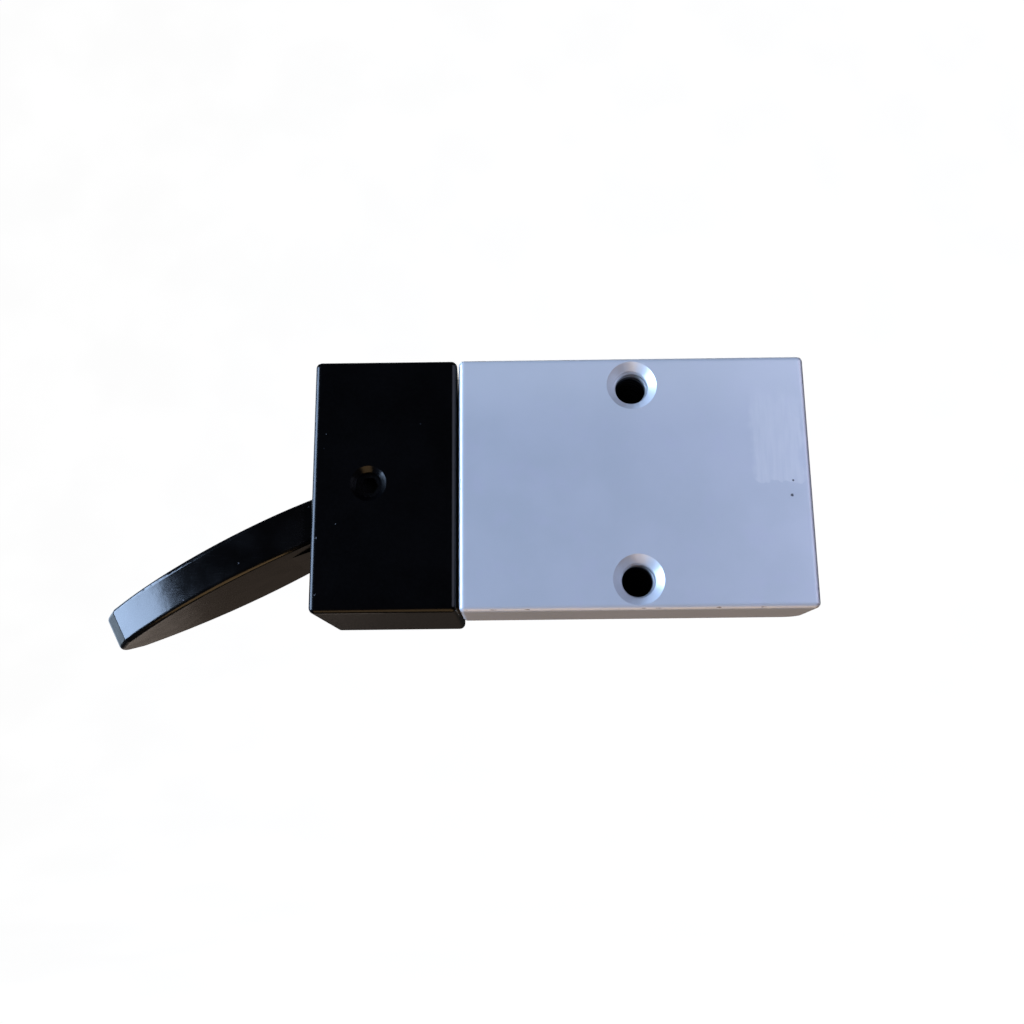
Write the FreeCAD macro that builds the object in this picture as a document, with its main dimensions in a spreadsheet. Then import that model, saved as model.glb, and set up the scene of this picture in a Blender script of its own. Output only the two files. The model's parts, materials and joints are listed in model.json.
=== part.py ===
import FreeCAD, Part
import math
import os
import re
import Sketcher

"""Stair gate latch: a keeper block on the post and a latch case on the gate leaf.

Lifting the lever turns it about the pivot pin.  The drive pin in the lever's
arm then pulls the latch bolt out of the keeper against the bolt spring.

Frame: millimetres, X along the latch from the lever to the keeper, Y through
it with the front faces towards -Y, Z up.  The origin is on the keeper's back
face, behind the middle of its two M8 holes.
"""

# name, value in millimetres or degrees, meaning
DIMENSIONS = [
    ("block_height", 50.0, "height of both blocks"),
    ("keeper_length", 68.0, "keeper along X"),
    ("keeper_depth", 16.0, "keeper along Y"),
    ("case_width", 28.0, "latch case along X"),
    ("case_depth", 32.0, "latch case along Y"),
    ("joint_gap", 0.3, "gap between keeper and case"),
    ("keeper_edge", 1.1, "edge rounding of the keeper"),
    ("keeper_rear_corner", 4.0, "larger rounding of the keeper's rear upright corner"),
    ("case_edge", 1.2, "edge rounding of the case"),
    ("hole_spacing", 38.5, "between the two M8 holes"),
    ("keeper_hole_radius", 3.4, "tapping radius of M8"),
    ("keeper_hole_chamfer", 1.5, "mouth chamfer of the M8 holes"),
    ("keeper_hole_depth", 12.5, "M8 holes to the start of the drill point"),
    ("drill_point", 2.0, "cone left by the drill at the end of an M8 hole"),
    ("pivot_from_left", 10.9, "pivot axis from the left face of the case"),
    ("wall", 3.0, "side walls of the case"),
    ("cover_thickness", 3.0, "back cover plate"),
    ("cavity_top", 9.0, "top of the mechanism cavity"),
    ("cavity_floor", 19.6, "depth of the cavity floor under the bolt"),
    ("rear_floor", 18.3, "depth of the cavity floor behind the bolt"),
    ("running_play", 0.1, "running clearance"),
    ("lever_drop", 27.5, "paddle angle below level at rest, degrees"),
    ("lever_thickness", 8.6, "paddle plate at the pivot"),
    ("lever_taper", 1.1, "paddle plate thinner at the tip, from below"),
    ("lever_edge", 1.0, "paddle edge rounding"),
    ("tip_corner", 1.2, "rounding of the two upright tip corners"),
    ("leaf_radius", 56.0, "side arcs of the paddle"),
    ("leaf_middle", 27.8, "widest place of the paddle from the pivot"),
    ("leaf_half", 12.65, "half of the paddle's width"),
    ("root_reach", 3.0, "start of the side arcs, inside the hub"),
    ("corner_reach", 56.7, "tip corners from the pivot"),
    ("lever_slot_side", 12.2, "half width of the lever's slot in the case"),
    ("lever_slot_bottom", 11.9, "lower edge of the lever's slot below the pivot"),
    ("lever_slot_top", 6.7, "upper edge of the lever's slot above the pivot"),
    ("lever_slot_rim", 0.5, "chamfer round the lever's slot"),
    ("apex_reach", 60.3, "where the two tip facets would meet"),
    ("nose_radius", 3.0, "rounding between the tip facets"),
    ("neck_half", 7.0, "half width of the hub and rib"),
    ("hub_radius", 7.0, "lever hub"),
    ("hub_relief", 7.2, "plate cut back round the bosses beside the hub"),
    ("rib_reach", 22.0, "end of the stiffening rib under the paddle"),
    ("rib_sink", 0.2, "end of the rib inside the plate"),
    ("rib_root", 0.35, "rib above the bottom of the hub"),
    ("arm_length", 14.0, "pivot to drive pin"),
    ("arm_half", 3.0, "half thickness of the arm along Y"),
    ("arm_end_radius", 3.2, "rounded end of the arm"),
    ("pin_radius", 2.5, "pivot pin"),
    ("pin_chamfer", 0.4, "chamfered ends of the pivot pin"),
    ("seat_clear", 0.02, "radial clearance of the pivot pin in its bosses"),
    ("bush_length", 5.0, "each hub bush"),
    ("bush_wall", 0.95, "wall of the hub bushes"),
    ("bush_bore_clear", 0.05, "radial clearance of pin and bushes"),
    ("washer_thickness", 0.8, "thrust washers"),
    ("washer_radius", 5.8, "outside of the thrust washers"),
    ("boss_radius", 6.0, "pivot bosses"),
    ("drive_radius", 2.0, "drive pin"),
    ("press_clear", 0.01, "radial clearance of the drive pin in the arm"),
    ("drive_inset", 0.3, "front end of the drive pin behind the bolt's front face"),
    ("slot_clear", 0.2, "side clearance of the drive pin in its slot"),
    ("thread_radius", 2.5, "tapping radius of the M6 pivot hole"),
    ("grub_recess", 1.8, "grub screw below the front face"),
    ("grub_length", 3.0, "grub screw"),
    ("grub_socket", 1.73, "corner radius of the grub screw's hexagon socket"),
    ("grub_socket_depth", 2.0, "depth of the grub screw's socket"),
    ("pivot_mouth", 1.0, "chamfer at the mouth of the pivot hole"),
    ("bolt_front", 12.5, "front face of the latch bolt, towards -Y"),
    ("bolt_back", 3.5, "back face of the latch bolt, towards -Y"),
    ("bolt_top", 7.8, "top face of the latch bolt below the pivot"),
    ("bolt_bottom", 18.8, "bottom face of the latch bolt below the pivot"),
    ("bolt_throw", 8.2, "bolt beyond the case at rest"),
    ("bolt_bevel", 6.0, "bevel of the bolt's nose"),
    ("tail_wall", 2.6, "bolt behind its slot"),
    ("liner_wall", 1.0, "wall of the window liner"),
    ("liner_clear", 0.2, "clearance of the bolt in the window liner"),
    ("mortise_depth", 10.5, "mortise in the keeper"),
    ("mortise_wall", 1.1, "wall of the mortise liner"),
    ("mortise_clear", 0.5, "clearance of the bolt in the mortise liner"),
    ("lug_length", 3.0, "spring lug of the bolt along X"),
    ("lug_gap", 0.77, "between the arm's end and the spring lug at rest"),
    ("lug_half", 3.5, "half height of the spring lug"),
    ("lug_back", 11.5, "back of the spring lug"),
    ("spring_y", 7.2, "spring axis"),
    ("spring_drop", 14.3, "spring axis below the pivot"),
    ("spring_radius", 2.8, "mean coil radius"),
    ("wire_radius", 0.4, "spring wire"),
    ("spring_pitch", 2.0, "coil pitch at rest"),
    ("cup_thickness", 0.8, "flange of the spring cup"),
    ("cup_spigot", 1.5, "spigot of the spring cup inside the coils"),
    ("rod_radius", 1.5, "spring guide rod"),
    ("rod_length", 8.2, "spring guide rod"),
    ("rod_inset", 1.3, "end of the spring guide rod inside the left wall"),
    ("stop_half", 3.0, "half side of the rubber bolt stop"),
    ("case_bolt_spacing", 16.0, "between the two M5 holes"),
    ("case_bolt_height", 20.0, "M5 holes above the pivot"),
    ("case_bolt_radius", 2.1, "tapping radius of M5"),
    ("case_bolt_depth", 12.0, "depth of the M5 holes"),
    ("cover_top", 15.0, "top edge of the back cover"),
    ("cover_lip", 1.7, "case wall left beside the cover"),
    ("cover_rebate", 1.0, "cover's lower edge below the cavity floor"),
    ("cover_screw_height", 12.0, "cover screws above the pivot"),
    ("cover_screw_side", 7.7, "cover screws from the middle of the case"),
    ("tongue", 1.5, "tongue of the cover, thick and deep"),
    ("screw_radius", 1.25, "tapping radius of M3"),
    ("screw_clearance", 1.7, "clearance hole of M3"),
    ("screw_head", 2.75, "head radius of the M3 screws"),
    ("screw_head_depth", 1.5, "cone of the M3 heads"),
    ("screw_sink", 0.2, "M3 heads below the cover's face"),
    ("screw_reach", 7.0, "M3 screws beyond the cover"),
    ("screw_socket", 1.15, "corner radius of the M3 hexagon socket"),
    ("screw_socket_depth", 1.2, "depth of the M3 socket"),
    ("overcut", 1.0, "cutting tools beyond the face they open"),
]

SHEET = "Sizes"
ALONG_Y = FreeCAD.Rotation(FreeCAD.Vector(1, 0, 0), -90)
ALONG_X = FreeCAD.Rotation(FreeCAD.Vector(0, 1, 0), 90)
UPRIGHT = FreeCAD.Rotation()
NEAR = 1e-3

doc = FreeCAD.newDocument("stair_gate_latch")


def add_sheet():
    """Put every driving dimension and the places worked out from them in one sheet."""
    sheet = doc.addObject("Spreadsheet::Sheet", SHEET)
    for row, (alias, value, meaning) in enumerate(DIMENSIONS + derived_cells(), start=1):
        sheet.set(f"A{row}", meaning)
        sheet.set(f"B{row}", str(value))
        sheet.setAlias(f"B{row}", alias)
    doc.recompute()
    return sheet


def derived_cells():
    """Formulas for places along X, Y and Z that several sub-parts share."""
    arc_half = "leaf_half - leaf_radius + sqrt(leaf_radius ^ 2 - (leaf_middle - {}) ^ 2)"
    return [
        ("case_right", "=-keeper_length / 2 - joint_gap", "right face of the case"),
        ("case_left", "=case_right - case_width", "left face of the case"),
        ("case_middle", "=case_right - case_width / 2", "middle of the case"),
        ("case_front", "=-case_depth / 2", "front face of the case"),
        ("case_back", "=case_depth / 2", "back face of the case"),
        ("pivot_x", "=case_left + pivot_from_left", "pivot axis"),
        ("cavity_back", "=case_back - cover_thickness", "back of the cavity"),
        ("boss_front", "=-neck_half - running_play - washer_thickness", "face of the front boss"),
        ("pin_front", "=case_front + grub_recess + grub_length", "front end of the pivot pin"),
        ("pin_back", "=cavity_back + overcut", "back end of the pivot pin"),
        ("drive_x", "=pivot_x + arm_length * sin(lever_drop * 1deg)", "drive pin at rest"),
        ("drive_drop", "=arm_length * cos(lever_drop * 1deg)", "drive pin below the pivot"),
        ("slot_half", "=drive_radius + slot_clear", "half width of the bolt's slot"),
        ("lug_left", "=drive_x + arm_end_radius + lug_gap", "left face of the spring lug"),
        ("bolt_tip", "=case_right + bolt_throw", "end of the bolt's nose"),
        ("root_half", f"={arc_half.format('root_reach')}", "half width at the start of the side arcs"),
        ("corner_half", f"={arc_half.format('corner_reach')}", "half width between the tip corners"),
    ]


def value(sheet, alias):
    return float(sheet.get(alias))


def bind(item, **expressions):
    """Bind properties to sheet formulas; a double underscore in a name stands for a dot."""
    for name, formula in expressions.items():
        item.setExpression(name.replace("__", "."), in_sheet(formula))


def in_sheet(formula):
    """Point every alias in a formula at the sheet."""
    names = "|".join(row[0] for row in DIMENSIONS + derived_cells())
    return re.sub(rf"\b({names})\b", rf"<<{SHEET}>>.\1", formula)


# ---------------------------------------------------------------- building blocks

def new_body(label):
    body = doc.addObject("PartDesign::Body", label)
    body.Label = label
    return body


def origin_plane(body, role):
    return next(item for item in body.Origin.OriginFeatures if item.Role == role)


def place(item, base, rotation):
    """Move a primitive to (x, y, z) formulas; in a body it hangs on the body's own origin."""
    if item.TypeId.startswith("PartDesign"):
        body = item.getParentGeoFeatureGroup()
        item.AttachmentSupport = [(origin_plane(body, "XY_Plane"), "")]
        item.MapMode = "FlatFace"
        item.AttachmentOffset = FreeCAD.Placement(FreeCAD.Vector(), rotation)
        target = "AttachmentOffset"
    else:
        item.Placement = FreeCAD.Placement(FreeCAD.Vector(), rotation)
        target = "Placement"
    for axis, formula in zip("xyz", base):
        item.setExpression(f"{target}.Base.{axis}", in_sheet(formula))


def primitive(owner, kind, name):
    """A primitive in a body (kind such as AdditiveBox) or alone (kind such as Box)."""
    if owner is None:
        return doc.addObject(f"Part::{kind}", name)
    return owner.newObject(f"PartDesign::{kind}", name)


def box(owner, kind, name, x, y, z):
    """A box between pairs of formulas (low, high) along each axis."""
    item = primitive(owner, kind, name)
    place(item, (x[0], y[0], z[0]), UPRIGHT)
    bind(item, Length=f"({x[1]}) - ({x[0]})", Width=f"({y[1]}) - ({y[0]})", Height=f"({z[1]}) - ({z[0]})")
    return item


def cylinder(owner, kind, name, radius, base, length, rotation=ALONG_Y):
    item = primitive(owner, kind, name)
    place(item, base, rotation)
    bind(item, Radius=radius, Height=length)
    return item


def cone(owner, kind, name, radii, base, length, rotation=ALONG_Y):
    item = primitive(owner, kind, name)
    place(item, base, rotation)
    bind(item, Radius1=radii[0], Radius2=radii[1], Height=length)
    return item


def hexagon(name, radius, base, length):
    """A hexagonal prism along Y, for sockets."""
    item = doc.addObject("Part::Prism", name)
    item.Polygon = 6
    place(item, base, ALONG_Y)
    bind(item, Circumradius=radius, Height=length)
    return item


def boolean(kind, name, base, tool):
    item = doc.addObject(f"Part::{kind}", name)
    item.Base = base
    item.Tool = tool
    item.Label = name
    return item


def tube(name, outer, inner, base, length, rotation=ALONG_Y):
    """A round tube as one solid cylinder cut by another."""
    solid = cylinder(None, "Cylinder", f"{name}_outer", outer, base, length, rotation)
    hollow = cylinder(None, "Cylinder", f"{name}_inner", inner, base, length, rotation)
    return boolean("Cut", name, solid, hollow)


def edges_where(feature, test):
    """Names of the edges of a feature whose shape passes a test."""
    doc.recompute()
    numbered = enumerate(feature.Shape.Edges, start=1)
    return [f"Edge{n}" for n, edge in numbered if not edge.Degenerated and test(edge)]


def dress(body, kind, name, base, edges, size, formula):
    """A fillet or chamfer in a body, with its size bound to the sheet."""
    item = body.newObject(f"PartDesign::{kind}", name)
    item.Base = (base, edges)
    bind(item, **{size: formula})
    doc.recompute()
    return item


def is_straight(edge):
    return edge.Curve.TypeId == "Part::GeomLine"


def circle_of(edge, radius):
    return edge.Curve.TypeId == "Part::GeomCircle" and abs(edge.Curve.Radius - radius) < NEAR


# ---------------------------------------------------------------- sketches

def new_sketch(body, name, role, offset="0 mm"):
    sketch = body.newObject("Sketcher::SketchObject", name)
    sketch.AttachmentSupport = [(origin_plane(body, role), "")]
    sketch.MapMode = "FlatFace"
    sketch.setExpression("AttachmentOffset.Base.z", in_sheet(offset))
    return sketch


def fix_point(sketch, geometry, point, across, up):
    """Dimension one end of a line or arc from the sketch origin, bound to formulas."""
    for kind, formula in (("DistanceX", across), ("DistanceY", up)):
        place_now = getattr(sketch.getPoint(geometry, point), "x" if kind == "DistanceX" else "y")
        index = sketch.addConstraint(Sketcher.Constraint(kind, -1, 1, geometry, point, place_now))
        sketch.setExpression(f"Constraints[{index}]", in_sheet(formula))


def polygon(sketch, sheet_values, corners):
    """A closed polygon whose corners are pairs of formulas."""
    points = [FreeCAD.Vector(sheet_values(a), sheet_values(b), 0) for a, b in corners]
    count = len(points)
    for n in range(count):
        sketch.addGeometry(Part.LineSegment(points[n], points[(n + 1) % count]), False)
    for n in range(count):
        sketch.addConstraint(Sketcher.Constraint("Coincident", n, 2, (n + 1) % count, 1))
    for n, (across, up) in enumerate(corners):
        fix_point(sketch, n, 1, across, up)


def evaluator(sheet):
    """A function that works out a formula of aliases, for first positions in a sketch."""
    def evaluate(formula):
        cell = "Z1"
        sheet.set(cell, "=" + formula)
        sheet.recompute()
        result = sheet.get(cell)
        sheet.clear(cell)
        return float(getattr(result, "Value", result))
    return evaluate


def pad(body, sketch, name, length, midplane=False, kind="Pad"):
    """Extrude a sketch into solid (Pad) or out of it (Pocket)."""
    item = body.newObject(f"PartDesign::{kind}", name)
    item.Profile = sketch
    item.Midplane = midplane
    bind(item, Length=length)
    doc.recompute()
    return item


# ---------------------------------------------------------------- the keeper

def keeper_block(sheet, evaluate):
    body = new_body("keeper_block")
    outline = new_sketch(body, "keeper_outline", "XZ_Plane")
    half, up = "keeper_length / 2", "block_height / 2"
    polygon(outline, evaluate, [(f"-{half}", f"-{up}"), (half, f"-{up}"), (half, up), (f"-{half}", up)])
    block = pad(body, outline, "keeper_pad", "keeper_depth")
    right = value(sheet, "keeper_length") / 2

    def at_rear_right(edge):
        box_of = edge.BoundBox
        return is_straight(edge) and box_of.XMin > right - NEAR and box_of.YMin > -NEAR and box_of.ZLength > NEAR
    block = dress(body, "Fillet", "rear_corner", block, edges_where(block, at_rear_right), "Radius",
                  "keeper_rear_corner")
    edges = edges_where(block, is_straight)
    dress(body, "Fillet", "keeper_edges", block, edges, "Radius", "keeper_edge")
    left = "-keeper_length / 2"
    box(body, "SubtractiveBox", "mortise",
        (f"{left} - overcut", f"{left} + mortise_depth"),
        ("-bolt_front - mortise_clear - mortise_wall", "-bolt_back + mortise_clear + mortise_wall"),
        ("-bolt_bottom - mortise_clear - mortise_wall", "-bolt_top + mortise_clear + mortise_wall"))
    for side, name in ((1, "upper"), (-1, "lower")):
        height = f"{side} * hole_spacing / 2"
        cylinder(body, "SubtractiveCylinder", f"{name}_hole", "keeper_hole_radius",
                 ("0", "-keeper_depth - overcut", height), "keeper_hole_depth + overcut")
        cone(body, "SubtractiveCone", f"{name}_drill_point", ("keeper_hole_radius", "0"),
             ("0", "-keeper_depth + keeper_hole_depth", height), "drill_point")
    doc.recompute()
    radius, front = value(sheet, "keeper_hole_radius"), -value(sheet, "keeper_depth")
    mouths = edges_where(body.Tip, lambda edge: circle_of(edge, radius)
                         and abs(edge.BoundBox.YMin - front) < NEAR)
    dress(body, "Chamfer", "hole_mouths", body.Tip, mouths, "Size", "keeper_hole_chamfer")
    return body


def mortise_liner():
    left = "-keeper_length / 2"
    outer = box(None, "Box", "mortise_liner_outer",
                (left, f"{left} + mortise_depth"),
                ("-bolt_front - mortise_clear - mortise_wall", "-bolt_back + mortise_clear + mortise_wall"),
                ("-bolt_bottom - mortise_clear - mortise_wall", "-bolt_top + mortise_clear + mortise_wall"))
    inner = box(None, "Box", "mortise_liner_inner",
                (f"{left} - overcut", f"{left} + mortise_depth - mortise_wall"),
                ("-bolt_front - mortise_clear", "-bolt_back + mortise_clear"),
                ("-bolt_bottom - mortise_clear", "-bolt_top + mortise_clear"))
    return boolean("Cut", "mortise_liner", outer, inner)


# ---------------------------------------------------------------- the latch case

WINDOW_Y = ("-bolt_front - liner_clear - liner_wall", "-bolt_back + liner_clear + liner_wall")
WINDOW_Z = ("-bolt_bottom - liner_clear - liner_wall", "-bolt_top + liner_clear + liner_wall")
INNER_X = ("case_left + wall", "case_right - wall")
COVER_X = ("case_left + cover_lip", "case_right - cover_lip")
COVER_Z = ("-rear_floor - cover_rebate", "cover_top")


def case_body(sheet, evaluate):
    body = new_body("case_body")
    outline = new_sketch(body, "case_outline", "XZ_Plane", "-case_back")
    up = "block_height / 2"
    polygon(outline, evaluate,
            [("case_left", f"-{up}"), ("case_right", f"-{up}"), ("case_right", up), ("case_left", up)])
    block = pad(body, outline, "case_pad", "case_depth")
    dress(body, "Fillet", "case_edges", block, edges_where(block, is_straight), "Radius", "case_edge")
    cut_cavity(body)
    cut_lever_slot(body, sheet)
    cut_pivot(body)
    cut_back(body)
    return body


def cut_cavity(body):
    """The hollow for the mechanism, its deeper channel for the bolt and the bolt window."""
    box(body, "SubtractiveBox", "cavity", INNER_X,
        ("case_front + wall", "cavity_back + overcut"), ("-rear_floor", "cavity_top"))
    box(body, "SubtractiveBox", "bolt_channel", INNER_X,
        ("case_front + wall", "-bolt_back + joint_gap"), ("-cavity_floor", "0"))
    box(body, "SubtractiveBox", "bolt_window", ("case_right - wall - overcut", "case_right + overcut"),
        WINDOW_Y, WINDOW_Z)


def cut_lever_slot(body, sheet):
    """The opening in the left face that the lever swings in."""
    box(body, "SubtractiveBox", "lever_slot", ("case_left - overcut", "case_left + wall + overcut"),
        ("-lever_slot_side", "lever_slot_side"), ("-lever_slot_bottom", "lever_slot_top"))
    slot = body.Tip
    left, side = value(sheet, "case_left"), value(sheet, "lever_slot_side") + value(sheet, "overcut")

    def on_rim(edge):
        box_of = edge.BoundBox
        return is_straight(edge) and max(abs(box_of.XMin - left), abs(box_of.XMax - left)) < NEAR \
            and max(abs(box_of.YMin), abs(box_of.YMax)) < side
    dress(body, "Chamfer", "slot_rim", slot, edges_where(slot, on_rim), "Size", "lever_slot_rim")


def cut_pivot(body):
    """The front pivot boss with its pin bore, M6 hole and chamfered mouth."""
    cylinder(body, "AdditiveCylinder", "front_boss", "boss_radius",
             ("pivot_x", "case_front + overcut", "0"), "boss_front - case_front - overcut")
    cylinder(body, "SubtractiveCylinder", "front_pin_bore", "pin_radius + seat_clear",
             ("pivot_x", "case_front + overcut", "0"), "case_depth / 2")
    cylinder(body, "SubtractiveCylinder", "pivot_thread", "thread_radius",
             ("pivot_x", "case_front - overcut", "0"), "overcut + grub_recess + grub_length")
    cone(body, "SubtractiveCone", "pivot_hole_mouth", ("thread_radius + pivot_mouth", "thread_radius"),
         ("pivot_x", "case_front", "0"), "pivot_mouth")


def cut_back(body):
    """Seat and tongue groove of the cover, screw holes, mounting holes and rod hole."""
    box(body, "SubtractiveBox", "cover_seat", COVER_X, ("cavity_back", "case_back + overcut"), COVER_Z)
    box(body, "SubtractiveBox", "tongue_groove", COVER_X, ("cavity_back", "cavity_back + tongue"),
        (f"{COVER_Z[0]} - tongue - running_play", f"{COVER_Z[0]} + overcut"))
    for side, name in ((-1, "left"), (1, "right")):
        cylinder(body, "SubtractiveCylinder", f"{name}_screw_hole", "screw_radius",
                 (f"case_middle + {side} * cover_screw_side", "cavity_back - screw_reach - overcut",
                  "cover_screw_height"), "screw_reach + 2 * overcut")
        cylinder(body, "SubtractiveCylinder", f"{name}_mount_hole", "case_bolt_radius",
                 (f"case_middle + {side} * case_bolt_spacing / 2", "case_back - case_bolt_depth",
                  "case_bolt_height"), "case_bolt_depth + overcut")
    cylinder(body, "SubtractiveCylinder", "rod_hole", "rod_radius",
             ("case_left + rod_inset", "spring_y", "-spring_drop"), "wall", ALONG_X)


def back_cover():
    body = new_body("back_cover")
    box(body, "AdditiveBox", "cover_plate",
        (f"{COVER_X[0]} + running_play", f"{COVER_X[1]} - running_play"), ("cavity_back", "case_back"),
        (f"{COVER_Z[0]} + running_play", f"{COVER_Z[1]} - running_play"))
    box(body, "AdditiveBox", "cover_tongue",
        (f"{COVER_X[0]} + tongue", f"{COVER_X[1]} - tongue"),
        ("cavity_back", "cavity_back + tongue - running_play"),
        (f"{COVER_Z[0]} - tongue", f"{COVER_Z[0]} + overcut"))
    cylinder(body, "AdditiveCylinder", "rear_boss", "boss_radius", ("pivot_x", "-boss_front", "0"),
             "case_back + boss_front - overcut")
    cylinder(body, "SubtractiveCylinder", "rear_pin_bore", "pin_radius + seat_clear",
             ("pivot_x", "-boss_front - overcut", "0"), "pin_back + boss_front + overcut + running_play")
    for side, name in ((-1, "left"), (1, "right")):
        across = f"case_middle + {side} * cover_screw_side"
        cylinder(body, "SubtractiveCylinder", f"{name}_clearance", "screw_clearance",
                 (across, "cavity_back - overcut", "cover_screw_height"), "cover_thickness + 2 * overcut")
        cone(body, "SubtractiveCone", f"{name}_countersink",
             ("screw_head - screw_head_depth + screw_sink", "screw_head + screw_sink"),
             (across, "case_back - screw_head_depth", "cover_screw_height"), "screw_head_depth")
    return body


def cover_screws():
    """Two countersunk M3 screws with hexagon sockets, as one group of separate solids."""
    screws = []
    for side, name in ((-1, "left"), (1, "right")):
        across = f"case_middle + {side} * cover_screw_side"
        shank = cylinder(None, "Cylinder", f"{name}_shank", "screw_radius",
                         (across, "cavity_back - screw_reach", "cover_screw_height"),
                         "cover_thickness + screw_reach - screw_sink")
        head = cone(None, "Cone", f"{name}_head", ("screw_radius", "screw_head"),
                    (across, "case_back - screw_sink - screw_head_depth", "cover_screw_height"),
                    "screw_head_depth")
        socket = hexagon(f"{name}_socket", "screw_socket",
                         (across, "case_back - screw_sink - screw_socket_depth", "cover_screw_height"),
                         "screw_socket_depth + overcut")
        solid = boolean("Fuse", f"{name}_solid", shank, head)
        screws.append(boolean("Cut", f"{name}_cover_screw", solid, socket))
    group = doc.addObject("Part::Compound", "cover_screws")
    group.Links = screws
    group.Label = "cover_screws"
    return group


def bolt_window_liner():
    wide = ("case_right - wall", "case_right")
    outer = box(None, "Box", "liner_outer", wide, WINDOW_Y, WINDOW_Z)
    inner = box(None, "Box", "liner_inner", (f"{wide[0]} - overcut", f"{wide[1]} + overcut"),
                ("-bolt_front - liner_clear", "-bolt_back + liner_clear"),
                ("-bolt_bottom - liner_clear", "-bolt_top + liner_clear"))
    return boolean("Cut", "bolt_window_liner", outer, inner)


def slide_strip():
    """Nylon strip in the bottom of the bolt channel."""
    return box(None, "Box", "bolt_slide_strip", (f"{INNER_X[0]} + joint_gap", f"{INNER_X[1]} - joint_gap"),
               ("case_front + wall + joint_gap", "-bolt_back"),
               ("-cavity_floor", "-bolt_bottom - running_play"))


def pivot_pieces(sheet):
    """Pivot pin, grub screw and the two thrust washers, all on the pivot axis."""
    pin = cylinder(None, "Cylinder", "pivot_pin_stock", "pin_radius",
                   ("pivot_x", "pin_front", "0"), "pin_back - pin_front")
    doc.recompute()
    size = value(sheet, "pin_chamfer")
    rounded = doc.addObject("Part::Chamfer", "pivot_pin")
    rounded.Base = pin
    rounded.Edges = [(n, size, size) for n, edge in enumerate(pin.Shape.Edges, start=1)
                     if edge.Curve.TypeId == "Part::GeomCircle"]
    grub = cylinder(None, "Cylinder", "grub_stock", "thread_radius - seat_clear",
                    ("pivot_x", "case_front + grub_recess", "0"), "grub_length")
    socket = hexagon("grub_socket", "grub_socket", ("pivot_x", "case_front + grub_recess - overcut", "0"),
                     "grub_socket_depth + overcut")
    screw = boolean("Cut", "pivot_grub_screw", grub, socket)
    front = tube("front_thrust_washer", "washer_radius", "pin_radius + running_play",
                 ("pivot_x", "boss_front", "0"), "washer_thickness")
    rear = tube("rear_thrust_washer", "washer_radius", "pin_radius + running_play",
                ("pivot_x", "-boss_front - washer_thickness", "0"), "washer_thickness")
    return [rounded, screw, front, rear]


def bolt_stop_pad():
    """Rubber pad inside the right wall that the bolt's lug rests on."""
    return box(None, "Box", "bolt_stop_pad", ("lug_left + lug_length + running_play", INNER_X[1]),
               ("spring_y - stop_half", "spring_y + stop_half"),
               ("-spring_drop - stop_half", "-spring_drop + stop_half"))


def spring_guide_rod():
    return cylinder(None, "Cylinder", "spring_guide_rod", "rod_radius",
                    ("case_left + rod_inset", "spring_y", "-spring_drop"), "rod_length", ALONG_X)


# ---------------------------------------------------------------- the lever

def lever(sheet, evaluate):
    """Paddle, hub and arm; the body's own x axis runs along the paddle, its origin is the pivot."""
    body = new_body("lever")
    outline = leaf_sketch(body, sheet, evaluate)
    pad(body, outline, "leaf_pad", "lever_thickness", midplane=True)
    below = new_sketch(body, "taper_outline", "XZ_Plane")
    polygon(below, evaluate, [("0", "-lever_thickness / 2"),
                              ("-apex_reach", "-lever_thickness / 2 + lever_taper"),
                              ("-apex_reach", "-lever_thickness / 2 - overcut")])
    leaf = pad(body, below, "leaf_taper", "4 * leaf_half", midplane=True, kind="Pocket")
    corner = -value(sheet, "corner_reach")
    upright = edges_where(leaf, lambda edge: is_straight(edge) and abs(edge.BoundBox.XMin - corner) < NEAR
                          and edge.BoundBox.XLength < NEAR)
    leaf = dress(body, "Fillet", "tip_corners", leaf, upright, "Radius", "tip_corner")
    rim = edges_where(leaf, lambda edge: edge.BoundBox.ZLength < value(sheet, "lever_thickness") / 2)
    dress(body, "Fillet", "rim", leaf, rim, "Radius", "lever_edge")
    for side, base in (("front", "-leaf_half"), ("rear", "neck_half")):
        cylinder(body, "SubtractiveCylinder", f"{side}_relief", "hub_relief", ("0", base, "0"),
                 "leaf_half - neck_half")
    cylinder(body, "AdditiveCylinder", "hub", "hub_radius", ("0", "-neck_half", "0"), "2 * neck_half")
    side_view = new_sketch(body, "rib_outline", "XZ_Plane")
    polygon(side_view, evaluate,
            [("0", "0"), ("0", "-hub_radius + rib_root"), ("-hub_radius / 2", "-hub_radius + 2 * rib_root"),
             ("-rib_reach", "-lever_thickness / 2 + lever_taper * rib_reach / apex_reach + rib_sink"),
             ("-rib_reach", "0")])
    pad(body, side_view, "rib", "2 * neck_half", midplane=True)
    box(body, "AdditiveBox", "arm", ("-arm_half", "arm_half"), ("-arm_half", "arm_half"),
        ("-arm_length", "0"))
    cylinder(body, "AdditiveCylinder", "arm_end", "arm_end_radius",
             ("0", "-arm_half", "-arm_length"), "2 * arm_half")
    cylinder(body, "SubtractiveCylinder", "hub_bore", "pin_radius + bush_bore_clear + bush_wall",
             ("0", "-neck_half - overcut", "0"), "2 * neck_half + 2 * overcut")
    cylinder(body, "SubtractiveCylinder", "drive_bore", "drive_radius + press_clear",
             ("0", "-arm_half - overcut", "-arm_length"), "2 * arm_half + 2 * overcut")
    body.Placement = FreeCAD.Placement(FreeCAD.Vector(), FreeCAD.Rotation(FreeCAD.Vector(0, 1, 0), 0))
    body.setExpression("Placement.Base.x", in_sheet("pivot_x"))
    body.setExpression("Placement.Rotation.Angle", in_sheet("-lever_drop * 1deg"))
    return body


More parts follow.
